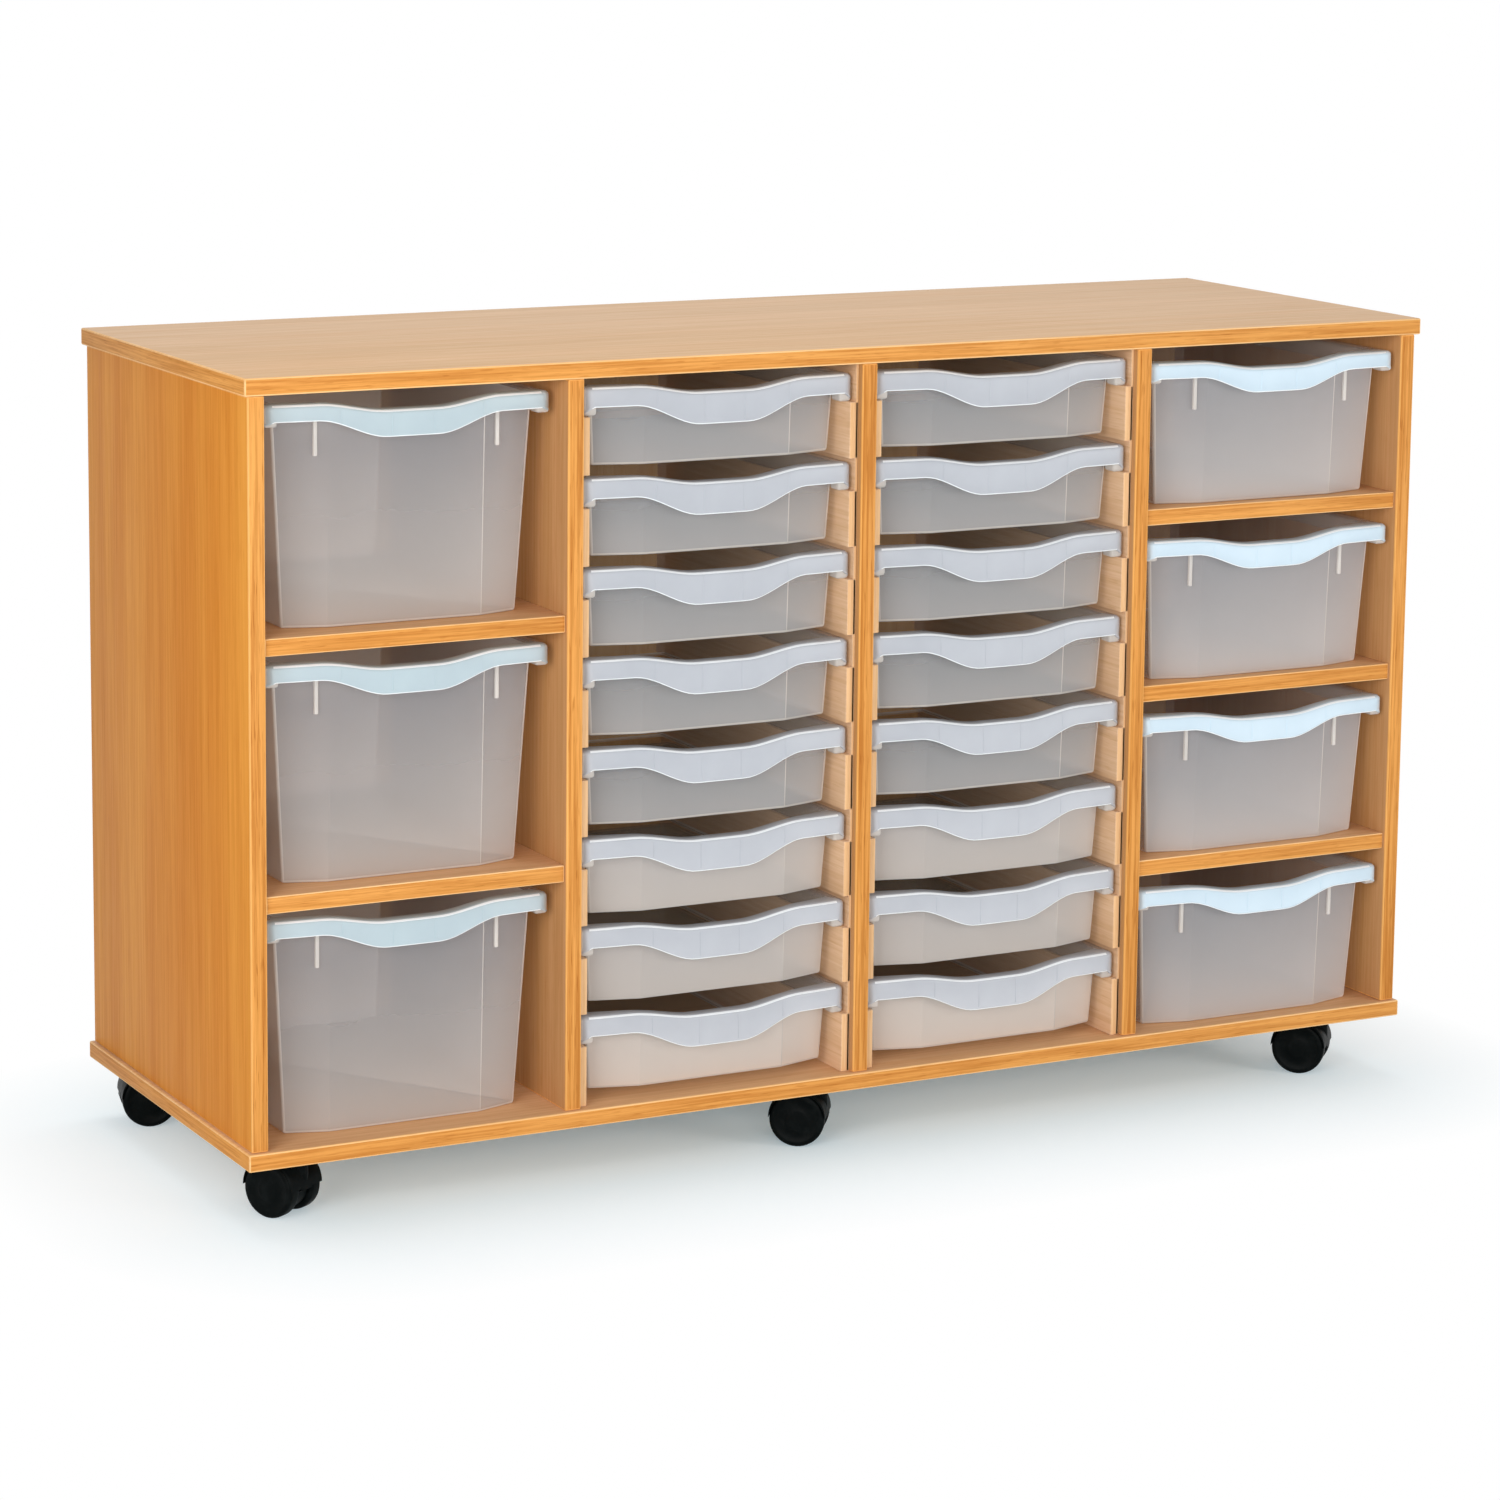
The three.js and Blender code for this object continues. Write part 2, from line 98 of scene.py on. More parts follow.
# Castors
WHEEL_INNER = 10 * MM  # from the middle of the axle
WHEEL_OUTER = 26 * MM
AXLE_RADIUS = 4 * MM
AXLE_SHOULDER = 0.8 * MM
TURNED_CORE = 0.5 * MM  # radius of the flat that closes a turned piece
TYRE_ROUND = 4 * MM
HOOD_WALL = 2 * MM
HOOD_CLEARANCE = 0.6 * MM  # over the tyres
HOOD_CORNER = 3 * MM
HOOD_END = 0.02  # of a half turn, above the axle
HOOD_STEPS = 32
COLLAR_RADIUS = 8.5 * MM
COLLAR_CHAMFER = 1 * MM
WEB_HALF = 9 * MM
WEB_INSET = 5 * MM
WEB_CHAMFER = 0.8 * MM
WEB_STEPS = 24  # round half of the web
PLATE_SHEET = 2.5 * MM
PLATE_ROUND = 0.7 * MM
PLATE_SCREW_PLACE = 15 * MM
PLATE_SCREW_RADIUS = 3 * MM
PLATE_SCREW_RISE = 0.8 * MM

# Floor: beyond this half size it turns from shaded to plain white, over the fade's width
SHADED_HALF = (0.56, 0.15, 0)
SHADED_FADE = 0.34
FLOOR_HALF = 30
FLOOR_COLOUR = (0.86, 0.93, 0.95, 1)
FLOOR_GLOW, FLOOR_GLOW_STRENGTH = (0.56, 0.87, 1), 0.2
SKY_FILL, SKY_FILL_STRENGTH = (0.96, 0.98, 1, 1), 0.32

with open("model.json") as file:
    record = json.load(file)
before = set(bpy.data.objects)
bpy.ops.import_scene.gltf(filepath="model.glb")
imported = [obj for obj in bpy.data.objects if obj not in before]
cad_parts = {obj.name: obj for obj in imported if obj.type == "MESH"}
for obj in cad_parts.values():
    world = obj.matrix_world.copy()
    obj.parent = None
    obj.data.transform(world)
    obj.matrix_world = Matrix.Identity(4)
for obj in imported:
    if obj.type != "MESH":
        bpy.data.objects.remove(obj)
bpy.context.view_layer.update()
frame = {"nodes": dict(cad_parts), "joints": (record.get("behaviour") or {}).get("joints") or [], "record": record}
scene = bpy.context.scene
behaviour = frame["record"]["behaviour"]
node_body = {node: body for body, nodes in behaviour["bodies"].items() for node in nodes}
joints = {joint["name"]: joint for joint in frame["joints"]}


# Materials. Grain has features to the metre across it, and a share of that along it
BAND_SCALE, BAND_STRETCH = 24, 0.04
LINE_SCALE, LINE_STRETCH = 260, 0.022
FLECK_SCALE, FLECK_STRETCH = 620, 0.05
EVEN = (1, 1, 1)
WHITE = (1, 1, 1)


class Shader:
    """A material with one Principled shader, and short calls for the nodes that feed it."""

    def __init__(self, name, **constants):
        self.material = bpy.data.materials.new(name)
        self.material.use_nodes = True
        self.tree = self.material.node_tree
        self.principled = self.tree.nodes["Principled BSDF"]
        for socket, value in constants.items():
            self.principled.inputs[socket.replace("_", " ")].default_value = value

    def node(self, kind, **inputs):
        node = self.tree.nodes.new("ShaderNode" + kind)
        for name, value in inputs.items():
            socket = node.inputs[name.replace("_", " ")]
            if isinstance(value, bpy.types.NodeSocket):
                self.tree.links.new(value, socket)
            else:
                socket.default_value = value
        return node

    def noise(self, stretch, scale, detail, roughness=0.5):
        """Noise in the piece's own coordinates, stretched by three factors."""
        place = self.node("TexCoord").outputs["Object"]
        stretched = self.node("Mapping", Vector=place, Scale=stretch).outputs["Vector"]
        noise = self.node("TexNoise", Vector=stretched, Scale=scale, Detail=detail, Roughness=roughness)
        return noise.outputs["Fac"]

    def ramp(self, source, *stops):
        ramp = self.node("ValToRGB", Fac=source)
        elements = ramp.color_ramp.elements
        for element, (place, colour) in zip(elements, stops):
            element.position = place
            element.color = (*colour, 1)
        return ramp.outputs["Color"]

    def mix(self, blend, share, first, second):
        mix = self.tree.nodes.new("ShaderNodeMix")
        mix.data_type = "RGBA"
        mix.blend_type = blend
        colours = [socket for socket in mix.inputs if socket.type == "RGBA"]
        for value, socket in ((share, mix.inputs["Factor"]), (first, colours[0]), (second, colours[1])):
            if isinstance(value, bpy.types.NodeSocket):
                self.tree.links.new(value, socket)
            else:
                socket.default_value = value if isinstance(value, float) else (*value, 1)
        return next(socket for socket in mix.outputs if socket.type == "RGBA")

    def spread(self, source, low, high):
        """The middle range of a noise, spread from low to high."""
        spread = self.node("MapRange", Value=source, From_Min=0.3, From_Max=0.7, To_Min=low, To_Max=high)
        return spread.outputs["Result"]

    def feed(self, socket, source):
        self.tree.links.new(source, self.principled.inputs[socket])

    def bump(self, source, strength, distance):
        bump = self.node("Bump", Height=source, Strength=strength, Distance=distance)
        self.feed("Normal", bump.outputs["Normal"])


def along(axis, share):
    """Stretch factors for a grain that runs along one axis."""
    return tuple(share if i == axis else 1.0 for i in range(3))


def beech_material(name, axis, light, dark, line, fineness=1.0, gloss=0.06, rough=0.45):
    """Beech-effect foil: broad bands, fine lines and short flecks along the grain."""
    shader = Shader(name, Specular_IOR_Level=gloss)
    bands = shader.noise(along(axis, BAND_STRETCH), BAND_SCALE, 3, 0.6)
    colour = shader.ramp(bands, (0.32, dark), (0.68, light))
    lines = shader.noise(along(axis, LINE_STRETCH), LINE_SCALE * fineness, 4, 0.6)
    line_shade = shader.ramp(lines, (0.38, line), (0.6, WHITE))
    colour = shader.mix("MULTIPLY", 0.8, colour, line_shade)
    flecks = shader.noise(along(axis, FLECK_STRETCH), FLECK_SCALE * fineness, 1, 0.4)
    fleck_shade = shader.ramp(flecks, (0.62, WHITE), (0.72, line))
    shader.feed("Base Color", shader.mix("MULTIPLY", 0.7, colour, fleck_shade))
    shader.feed("Roughness", shader.spread(lines, rough + 0.05, rough - 0.05))
    shader.bump(lines, strength=0.1, distance=0.3 * MM)
    return shader.material


def frosted_material(name, light, dark, alpha, foot=None):
    """Frosted polypropylene: milky, a little cloudy and partly see-through; a foot colour paints light, paler and
    warmer, towards its foot.
    """
    shader = Shader(name, Alpha=alpha, IOR=1.49)
    cloud = shader.noise(EVEN, 16, 3, 0.55)
    colour = shader.ramp(cloud, (0.3, dark), (0.7, light))
    # Painted light: towards the bottom of the piece's box the colour turns to the foot colour
    if foot:
        place_in_box = shader.node("TexCoord").outputs["Generated"]
        height = shader.node("SeparateXYZ", Vector=place_in_box).outputs["Z"]
        painted_foot_light = shader.node("MapRange", Value=height, From_Max=0.8, To_Min=1.0, To_Max=0.0)
        colour = shader.mix("MIX", painted_foot_light.outputs["Result"], colour, foot)
    shader.feed("Base Color", colour)
    grit = shader.noise(EVEN, 900, 2)
    shader.feed("Roughness", shader.spread(grit, 0.3, 0.42))
    shader.bump(grit, strength=0.05, distance=0.2 * MM)
    return shader.material


def nylon_material(name, colour, rough):
    """Black moulded nylon: a fine grain with faint scuffs."""
    shader = Shader(name, Specular_IOR_Level=0.04)
    scuff = shader.noise(EVEN, 70, 4, 0.65)
    scuffed = tuple(2 * channel + 0.004 for channel in colour)
    shader.feed("Base Color", shader.ramp(scuff, (0.5, colour), (0.85, scuffed)))
    shader.feed("Roughness", shader.spread(scuff, rough - 0.06, rough + 0.1))
    shader.bump(shader.noise(EVEN, 1400, 2), strength=0.1, distance=0.2 * MM)
    return shader.material


def zinc_material():
    """Zinc plate: a cold grey with a mottled sheen."""
    shader = Shader("zinc_plate", Metallic=1.0)
    mottle = shader.noise(EVEN, 240, 3)
    dull, bright = (0.55, 0.56, 0.58), (0.74, 0.75, 0.77)
    shader.feed("Base Color", shader.ramp(mottle, (0.35, dull), (0.7, bright)))
    shader.feed("Roughness", shader.spread(mottle, 0.26, 0.44))
    shader.bump(mottle, strength=0.05, distance=0.2 * MM)
    return shader.material


FACE_LIGHT, FACE_DARK = (0.775, 0.325, 0.052), (0.65, 0.225, 0.025)
# The top: paler and less orange than the sides, a painted sheen of the white surroundings seen at a low angle
FLAT_SHEEN_LIGHT, FLAT_SHEEN_DARK = (0.715, 0.455, 0.25), (0.66, 0.417, 0.218)
# Shelves and base: paler and pinker than the sides, a painted sheen of the surroundings seen at a low angle
SHELF_SHEEN_LIGHT, SHELF_SHEEN_DARK = (0.755, 0.438, 0.234), (0.685, 0.389, 0.196)
# Inner faces of the bays: a darker, greyer copy of the same foil, painted shade with a painted haze of light from
# the trays
SHADED_INSIDE_LIGHT, SHADED_INSIDE_DARK = (0.56, 0.29, 0.127), (0.475, 0.24, 0.09)
# Back panel's inner face: a brighter copy of the foil, painted light in the shaded bays
LIT_BACK_LIGHT, LIT_BACK_DARK = (0.89, 0.51, 0.187), (0.83, 0.445, 0.14)
EDGE_LIGHT, EDGE_DARK = (0.77, 0.355, 0.092), (0.67, 0.283, 0.062)
LINE = (0.9, 0.83, 0.74)
EDGE_LINE = (0.72, 0.6, 0.46)
UPRIGHT_LINE = (0.64, 0.5, 0.34)
STRIP_LINE = (0.88, 0.82, 0.74)
side_face = beech_material("beech_side", Z, FACE_LIGHT, FACE_DARK, LINE)
sheen_flat_face = beech_material("beech_flat_sheen", X, FLAT_SHEEN_LIGHT, FLAT_SHEEN_DARK, LINE, gloss=0.42, rough=0.5)
sheen_shelf_face = beech_material("beech_shelf", X, SHELF_SHEEN_LIGHT, SHELF_SHEEN_DARK, LINE)
# Painted shade: the dividers and the inner faces of the side panels get this darker copy of the foil
shaded_inside_face = beech_material("beech_inside_shaded", Z, SHADED_INSIDE_LIGHT, SHADED_INSIDE_DARK, LINE)
lit_back_face = beech_material("beech_back_lit", Z, LIT_BACK_LIGHT, LIT_BACK_DARK, LINE)
edges = [
    beech_material("beech_edge_x", X, EDGE_LIGHT, EDGE_DARK, EDGE_LINE, fineness=1.5),
    beech_material("beech_edge_y", Y, EDGE_LIGHT, EDGE_DARK, EDGE_LINE, fineness=1.5),
    beech_material("beech_edge_z", Z, EDGE_LIGHT, EDGE_DARK, UPRIGHT_LINE, fineness=1.1),
]
# Arris bevels: paler than the faces and edges, a painted highlight along each rounded edge
arris = beech_material("beech_arris_highlight", X, (0.93, 0.6, 0.3), (0.88, 0.5, 0.2), STRIP_LINE)
soft_arris_highlight = beech_material("beech_soft_arris_highlight", Z, (0.83, 0.42, 0.13), (0.78, 0.37, 0.1), STRIP_LINE)
strip_side = beech_material("pale_beech", Y, (0.78, 0.52, 0.33), (0.7, 0.44, 0.26), STRIP_LINE)
strip_end = beech_material(
    "pale_beech_end", Z, (0.84, 0.54, 0.3), (0.76, 0.46, 0.23), STRIP_LINE, fineness=1.5
)
# Tray floors, outer side and back walls and side rims: tinted warm, painted light from the wood around them;
# browner in the shallow trays
tall_floor = frosted_material("frosted_floor_warm_lit", (0.95, 0.89, 0.84), (0.89, 0.83, 0.78), 0.5)
deep_floor = frosted_material("frosted_deep_floor_warm_lit", (0.82, 0.71, 0.63), (0.76, 0.65, 0.57), 0.3)
shallow_floor = frosted_material("frosted_clear_floor_warm_lit", (0.88, 0.72, 0.54), (0.82, 0.66, 0.48), 0.2)
tray_body = frosted_material("frosted_body", (0.88, 0.85, 0.84), (0.81, 0.78, 0.77), 0.1)
tray_side_warm_lit = frosted_material("frosted_side_warm_lit", (0.72, 0.63, 0.57), (0.67, 0.58, 0.52), 0.3)
# Tray fronts: greyer than the inner skin, painted shade of the dark inside seen through; their paler, warmer foot
# colours are painted light
shaded_tall_front = frosted_material(
    "frosted_front_shaded", (0.46, 0.45, 0.47), (0.42, 0.41, 0.43), 0.36, foot=(0.86, 0.77, 0.71)
)
shaded_shallow_front = frosted_material(
    "frosted_grey_front_shaded", (0.49, 0.5, 0.52), (0.45, 0.46, 0.48), 0.37, foot=(0.75, 0.72, 0.71)
)
shaded_deep_front = frosted_material(
    "frosted_deep_front_shaded", (0.6, 0.59, 0.61), (0.55, 0.54, 0.56), 0.39, foot=(0.98, 0.91, 0.88)
)
# Paler fronts for the lowest shallow rows: painted light from below
lit_low_front = frosted_material(
    "frosted_low_front_lit", (0.82, 0.76, 0.73), (0.77, 0.71, 0.68), 0.45, foot=(0.93, 0.83, 0.76)
)
lit_lowest_front = frosted_material(
    "frosted_lowest_front_lit", (0.88, 0.78, 0.71), (0.83, 0.73, 0.66), 0.55, foot=(0.95, 0.83, 0.74)
)
# Pale plastic for the end webs and ribs, also a painted highlight on the foot, the front corners and the right
# kink of the front
tray_edge_and_highlight = frosted_material("frosted_edge_and_highlight", (0.91, 0.84, 0.78), (0.85, 0.78, 0.72), 0.5)
# Painted highlight: a near-white line on the lip's top rounding and lower edge
tray_highlight_line = frosted_material("frosted_highlight_line", (0.93, 0.95, 0.96), (0.88, 0.9, 0.91), 0.85)
# Lip rims: paler and bluer than the fronts, partly for the thicker, layered plastic and partly painted light on
# the exposed lip; palest on the deep trays
thick_lit_tall_rim = frosted_material("frosted_cool_rim_thick_lit", (0.6, 0.72, 0.77), (0.55, 0.66, 0.72), 0.6)
thick_lit_deep_rim = frosted_material("frosted_pale_rim_thick_lit", (0.75, 0.9, 1), (0.69, 0.84, 0.95), 0.6)
thick_lit_shallow_rim = frosted_material("frosted_rim_thick_lit", (0.61, 0.63, 0.68), (0.56, 0.58, 0.63), 0.6)
shaded_fronts = {"extra_deep": shaded_tall_front, "shallow": shaded_shallow_front, "deep": shaded_deep_front}
rims = {"extra_deep": thick_lit_tall_rim, "shallow": thick_lit_shallow_rim, "deep": thick_lit_deep_rim}
warm_lit_floors = {"extra_deep": tall_floor, "shallow": shallow_floor, "deep": deep_floor}
hood_nylon = nylon_material("hood_nylon", (0.002, 0.003, 0.003), 0.36)
wheel_nylon = nylon_material("wheel_nylon", (0.002, 0.003, 0.003), 0.42)
zinc = zinc_material()


# Meshes


def to_mesh(bm, name, materials, smooth_angle=35):
    """The mesh of a bmesh, smooth but for edges sharper than the angle."""
    mesh = bpy.data.meshes.new(name)
    bmesh.ops.recalc_face_normals(bm, faces=bm.faces)
    bm.to_mesh(mesh)
    bm.free()
    for material in materials:
        mesh.materials.append(material)
    mesh.shade_smooth()
    mesh.set_sharp_from_angle(angle=math.radians(smooth_angle))
    return mesh


def place(name, mesh, node, slot, location=(0, 0, 0), replaces=True):
    """An object that rides on the body of a CAD node and, unless it is an extra, stands for the node."""
    item = bpy.data.objects.new(name, mesh)
    item.location = location
    scene.collection.objects.link(item)
    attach(item, node_body[node])
    if replaces:
        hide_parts(node)
    return item


def add_box(bm, low, high, bevel, segments=2):
    """A box with rounded edges."""
    low, high = Vector(low), Vector(high)
    fit = Matrix.Translation((low + high) / 2) @ Matrix.Diagonal((*(high - low), 1))
    corners = bmesh.ops.create_cube(bm, size=1, matrix=fit)["verts"]
    sides = list({edge for corner in corners for edge in corner.link_edges})
    bmesh.ops.bevel(bm, geom=sides, offset=bevel, segments=segments, profile=0.5, affect="EDGES")


def add_rings(bm, rings):
    """A closed skin over rings of points, which all have as many points; gives its bands of faces."""
    rows = [[bm.verts.new(point) for point in ring] for ring in rings]
    bands = []
    for first, second in zip(rows, rows[1:]):
        sides = range(len(first))
        bands.append([bm.faces.new((first[i - 1], first[i], second[i], second[i - 1])) for i in sides])
    bm.faces.new(rows[0])
    bm.faces.new(rows[-1])
    return bands


def add_turned(bm, profile, fit, segments=48):
    """A solid turned about X from (radius, place) points, moved by a matrix."""
    turns = [2 * math.pi * i / segments for i in range(segments)]
    circle = [(math.cos(turn), math.sin(turn)) for turn in turns]
    add_rings(bm, [[fit @ Vector((x, r * y, r * z)) for y, z in circle] for r, x in profile])


# Boards
LOW_FACE, HIGH_FACE, GRAIN_EDGE, CROSS_EDGE, ARRIS = range(5)


def main_axis(normal):
    """The axis that a direction lies along, or None if it is slanted."""
    return next((axis for axis in (X, Y, Z) if abs(normal[axis]) > AXIS_ALIGNED), None)


def third_axis(first, second):
    """The axis that is neither of two."""
    return X + Y + Z - first - second


def build_board(node, grain, faces, bevel=BOARD_ARRIS, slot="beech_board"):
    """A board with foil on its two faces, banded edges and a rounded arris between them."""
    low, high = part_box(node)
    size = high - low
    thin = min((X, Y, Z), key=lambda axis: size[axis])
    bm = bmesh.new()
    add_box(bm, low, high, bevel)
    bm.normal_update()
    for face in bm.faces:
        axis = main_axis(face.normal)
        if axis is None:
            face.material_index = ARRIS
        elif axis == thin:
            face.material_index = LOW_FACE if face.normal[thin] < 0 else HIGH_FACE
        else:
            face.material_index = GRAIN_EDGE if third_axis(thin, axis) == grain else CROSS_EDGE
    cross_edge = edges[third_axis(thin, grain)]
    # The arris faces take the paler material, a painted highlight
    materials = [*faces, edges[grain], cross_edge, soft_arris_highlight if grain == Z else arris]
    place(node + "_board", to_mesh(bm, node + "_board", materials), node, slot)


def build_carcass():
    """All the boards, with the grain along the flat ones and up the upright ones."""
    for node in node_body:
        if node.startswith("divider"):
            build_board(node, Z, (shaded_inside_face, shaded_inside_face))
        elif "_shelf_" in node:
            build_board(node, X, (sheen_shelf_face, sheen_shelf_face), SHELF_ARRIS)
        elif "_runner_" in node:
            build_runner(node)
    build_board("top_panel", X, (sheen_flat_face, sheen_flat_face))
    build_board("base_panel", X, (sheen_shelf_face, sheen_shelf_face))
    build_board("side_panel_left", Z, (side_face, shaded_inside_face))
    build_board("side_panel_right", Z, (shaded_inside_face, side_face))
    build_board("back_panel", Z, (lit_back_face, side_face), SHELF_ARRIS, "back_board")
    build_back_screws()


def build_runner(node):
    """A backing sheet with a rounded strip under each row of rims."""
    low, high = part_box(node)
    levels = sorted({round(vertex.co.z, 5) for vertex in frame["nodes"][node].data.vertices})
    on_left = node.endswith("left")
    backing_low = Vector((low.x if on_left else high.x - RUNNER_BACKING, low.y, low.z))
    backing_high = Vector((low.x + RUNNER_BACKING if on_left else high.x, high.y, high.z))
    bm = bmesh.new()
    add_box(bm, backing_low, backing_high, STRIP_ARRIS / 2, 1)
    for foot, head in zip(levels[0 : 2 * TRAY_ROWS : 2], levels[1::2]):
        add_box(bm, (low.x, low.y, foot), (high.x, high.y, head), STRIP_ARRIS)
    bm.normal_update()
    for face in bm.faces:
        face.material_index = int(main_axis(face.normal) == Y)
    place(node + "_strips", to_mesh(bm, node + "_strips", [strip_side, strip_end]), node, "runner_board")


def add_screw_head(bm, centre, direction, radius, rise):
    """A domed head with a socket, which stands on a face."""
    turn = Vector((1, 0, 0)).rotation_difference(direction).to_matrix().to_4x4()
    fit = Matrix.Translation(centre) @ turn
    profile = [(radius, -0.2 * MM), (radius, rise * 0.3), (radius * 0.8, rise * 0.75)]
    profile += [(radius * 0.45, rise), (radius * 0.3, rise * 0.55), (radius * 0.05, rise * 0.5)]
    add_turned(bm, profile, fit, 20)


def build_back_screws():
    """Screws through the back panel into the dividers."""
    low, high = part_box("back_panel")
    bm = bmesh.new()
    for divider in ("divider_left", "divider_centre", "divider_right"):
        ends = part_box(divider)
        for share in BACK_SCREW_SHARES:
            centre = Vector(((ends[0].x + ends[1].x) / 2, high.y, low.z + (high.z - low.z) * share))
            add_screw_head(bm, centre, Vector((0, 1, 0)), BACK_SCREW_RADIUS, BACK_SCREW_RISE)
    mesh = to_mesh(bm, "back_screws", [zinc])
    place("back_screws", mesh, "back_panel", "plated_steel", replaces=False)


# Trays


def wave(x):
    """The share of the lip's full dip at a distance from its middle."""
    share = min(1.0, max(0.0, (WAVE_OUTER - abs(x)) / (WAVE_OUTER - WAVE_INNER)))
    return share * share * (3 - 2 * share)


def lip_crest(x):
    """The height of the lip's top edge."""
    return -LIP_DIP * wave(x)


def lip_edge(kind, x):
    """The height of the lip's lower edge."""
    return -kind["lip_end"] - (LIP_DIP + kind["lip_middle"] - kind["lip_end"]) * wave(x)


def lip_front(kind, x):
    """How far the lip's face lies behind its middle."""
    return LIP_BOW * (x / kind["half"]) ** 2


def body_half(kind):
    """Half the width of the body at the rim."""
    return kind["half"] - FLANGE


def body_front(kind, x):
    """How far the body's front lies behind the lip's middle: level to the kinks, then sloping back."""
    return BODY_FRONT + FACET_RECESS * max(0.0, abs(x) - FACET_KINK) / (body_half(kind) - FACET_KINK)


def front_shares(kind):
    """Places across the front, from -1 to 1, closer together at the body's two kinks."""
    kink = FACET_KINK / (body_half(kind) - BODY_CORNER)
    even = [i / FRONT_STEPS for i in range(-FRONT_STEPS, FRONT_STEPS + 1)]
    spaced = [share for share in even if abs(abs(share) - kink) > KINK_ROOM]
    steps = (-KINK_STEP, 0.0, KINK_STEP)
    return sorted(spaced + [side * (kink + step) for side in (-1, 1) for step in steps])


def outline(shares, half, front, back, corner, side_steps=5):
    """Points round a tray from the left end of its front, where front(x) gives the front edge."""
    straight = half - corner
    ahead = [(share * straight, front(share * straight)) for share in shares]
    start, end = front(straight) + corner, back - corner
    angles = [math.pi / 2 * i / CORNER_TURNS for i in range(1, CORNER_TURNS + 1)]
    right = [(straight + corner * math.sin(a), start - corner * math.cos(a)) for a in angles]
    right += [(half, start + (end - start) * i / side_steps) for i in range(1, side_steps)]
    right += [(straight + corner * math.cos(a), end + corner * math.sin(a)) for a in [0.0, *angles]]
    behind = [(straight * (1 - 2 * i / side_steps), back) for i in range(1, side_steps)]
    left = [(-x, y) for x, y in reversed(right)]
    return [Vector(point) for point in ahead + right + behind + left]


def outward(points):
    """The direction square to a closed outline, pointing out, at each of its points."""
    count = len(points)
    runs = [points[(i + 1) % count] - points[i - 1] for i in range(count)]
    return [Vector((run.y, -run.x)).normalized() for run in runs]


def drawn_in(kind, point, drop):
    """Where a point of the body's outline goes at a depth below the rim."""
    share = max(0.0, (abs(point.x) - FACET_KINK) / (body_half(kind) - FACET_KINK))
    back = TRAY_LENGTH - FLANGE
    lean = 1 - 2 * (point.y - BODY_FRONT) / (back - BODY_FRONT)
    inward = math.copysign(SIDE_DRAFT * drop * share, point.x)
    return Vector((point.x - inward, point.y + END_DRAFT * drop * lean))


# Bands of a tray's skin, counted along its section
RIM_BANDS = range(4, 18)
# Bands of the lip's top rounding and lower edge that carry a painted highlight line
HIGHLIGHT_BANDS = (7, 12, 13)
WALL_BAND = 19
FOOT_BANDS = (20, 21)
FLOOR_SLOT, BODY_SLOT, FRONT_SLOT, RIM_SLOT, EDGE_AND_HIGHLIGHT_SLOT, HIGHLIGHT_SLOT, SIDE_SLOT = range(7)


def band_slot(band, lip, on_highlight):
    """The material of a face of a tray's skin, from its band and from how far its column is lip."""
    if band in HIGHLIGHT_BANDS and lip == 1:
        return HIGHLIGHT_SLOT
    if band in RIM_BANDS and lip > 0:
        return RIM_SLOT
    # Painted highlight: the foot's rounding all round, and the outer wall at the front corners and right kink
    if band in FOOT_BANDS or (band == WALL_BAND and on_highlight):
        return EDGE_AND_HIGHLIGHT_SLOT
    if band == WALL_BAND and lip == 1:
        return FRONT_SLOT
    if band == WALL_BAND:
        return FLOOR_SLOT
    return SIDE_SLOT if band in RIM_BANDS else BODY_SLOT


def lip_share(column, across, count):
    """How far a column of a tray's skin is lip: 1 on the front, and less round its two corners."""
    past = column - across + 1
    ahead = count - column
    return 1.0 if past <= 0 else max(0.0, 1 - min(past, ahead) / CORNER_TURNS)


def highlight_columns(kind, shares, count):
    """The columns of a tray's skin at its two front corners and at the right kink of its front, where a painted
    highlight runs down the outer wall.
    """
    kink = FACET_KINK / (body_half(kind) - BODY_CORNER)
    near = [abs(share - kink) < 1.5 * KINK_STEP for share in shares]
    kinks = {i for i in range(1, len(shares)) if near[i] and near[i - 1]}
    right_corner = range(len(shares), len(shares) + CORNER_TURNS)
    left_corner = range(count - CORNER_TURNS + 1, count)
    return kinks | {0, *right_corner, *left_corner}


